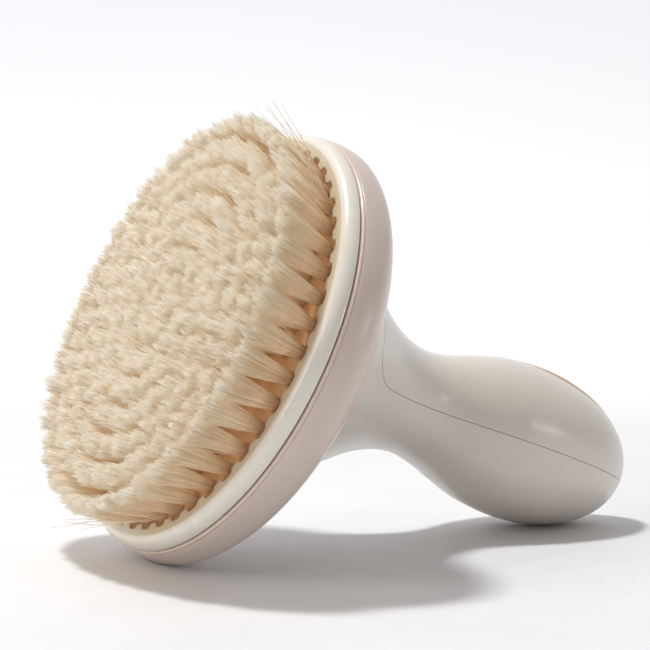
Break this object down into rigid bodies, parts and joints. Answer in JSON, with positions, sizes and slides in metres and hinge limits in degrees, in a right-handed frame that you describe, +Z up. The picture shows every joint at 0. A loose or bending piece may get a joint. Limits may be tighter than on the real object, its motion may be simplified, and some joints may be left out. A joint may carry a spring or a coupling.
{
  "type": "facial cleansing brush",
  "caption": "Powered facial cleansing brush: a round head of cream bristle tufts turning in a domed housing, on a short bulb handle with an oval button, lying at rest on its side",
  "frame": {"origin": "centre of the bounding box in X and Y, on the surface it rests on", "axes": "+Z up as it lies at rest; +X from the bristle head towards the end of the handle; +Y to the right hand of someone looking along +X from above; the head axis lies in the XZ plane and slopes down towards the handle by 24 degrees"},
  "size_m": [0.1236, 0.0814, 0.0815],
  "materials": {
    "plate_ivory": "satin-gloss moulded ivory plastic",
    "bristle": "fine cream nylon bristles, tan at the root",
    "housing_rose": "satin rose-beige painted plastic",
    "lip_rose": "satin rose-beige plastic, a shade lighter than the housing",
    "shell_white": "satin warm off-white plastic",
    "button_rose": "soft-touch rose-beige plastic",
    "steel": "plain steel",
    "rubber_dark": "dark silicone rubber",
    "gear_white": "natural acetal",
    "brass": "machined brass",
    "frame_grey": "grey glass-filled nylon",
    "bronze": "sintered bronze",
    "board_green": "solder-masked circuit board",
    "chip_black": "black moulded package",
    "cell_sleeve": "shrink-sleeved lithium cell",
    "coil_copper": "wound copper wire",
    "ferrite": "dark ferrite sheet",
    "lead_red": "insulated wire"
  },
  "bodies": {
    "handle": {"head_housing": "housing_rose", "lip_ring": "lip_rose", "bulkhead": "frame_grey", "bulkhead_screws": "steel", "bulkhead_oring": "rubber_dark", "lip_seal": "rubber_dark", "spindle_bush": "bronze", "idler_axle": "steel", "motor_can": "steel", "motor_screws": "steel", "gear_carrier": "frame_grey", "carrier_screws": "steel", "top_cover": "shell_white", "lower_shell_left": "shell_white", "lower_shell_right": "shell_white", "spine_bracket": "frame_grey", "shell_screws": "steel", "button_seal": "rubber_dark", "circuit_board": "board_green", "tact_switch": "chip_black", "control_chip": "chip_black", "battery": "cell_sleeve", "battery_cradle": "frame_grey", "battery_tabs": "steel", "charge_coil": "coil_copper", "ferrite_disc": "ferrite", "motor_leads": "lead_red"},
    "spindle": {"spindle": "steel", "drive_oring": "rubber_dark", "output_gear": "gear_white"},
    "brush_head": {"brush_plate": "plate_ivory", "tufts_ring_1": "bristle", "tufts_ring_2": "bristle", "tufts_ring_3": "bristle", "tufts_ring_4": "bristle", "tufts_ring_5": "bristle", "tufts_ring_6": "bristle", "tufts_ring_7": "bristle", "tufts_center": "bristle"},
    "idler": {"idler_gear": "gear_white"},
    "rotor": {"motor_pinion": "brass", "motor_shaft": "steel"},
    "button": {"button_cap": "button_rose"}
  },
  "joints": [
    {"name": "head_spin", "type": "hinge", "parent": "handle", "child": "spindle", "pos_m": [-0.0252, 0, 0.03595], "axis": [0.9163, 0, -0.4004], "continuous": true},
    {"name": "head_pull", "type": "slide", "parent": "spindle", "child": "brush_head", "axis": [-0.9163, 0, 0.4004], "range_m": [0, 0.02]},
    {"name": "idler_spin", "type": "hinge", "parent": "handle", "child": "idler", "pos_m": [-0.01952, 0, 0.04396], "axis": [0.9163, 0, -0.4004], "continuous": true},
    {"name": "motor_spin", "type": "hinge", "parent": "handle", "child": "rotor", "pos_m": [-0.0252, 0, 0.03595], "axis": [0.9163, 0, -0.4004], "continuous": true},
    {"name": "button_press", "type": "slide", "parent": "handle", "child": "button", "axis": [-0.3197, 0, -0.9475], "range_m": [0, 0.0008], "stiffness_N_per_m": 300, "springref_m": -0.001}
  ],
  "couplings": [
    {"joint": "idler_spin", "follows": "head_spin", "ratio": -3},
    {"joint": "motor_spin", "follows": "head_spin", "ratio": 9}
  ]
}
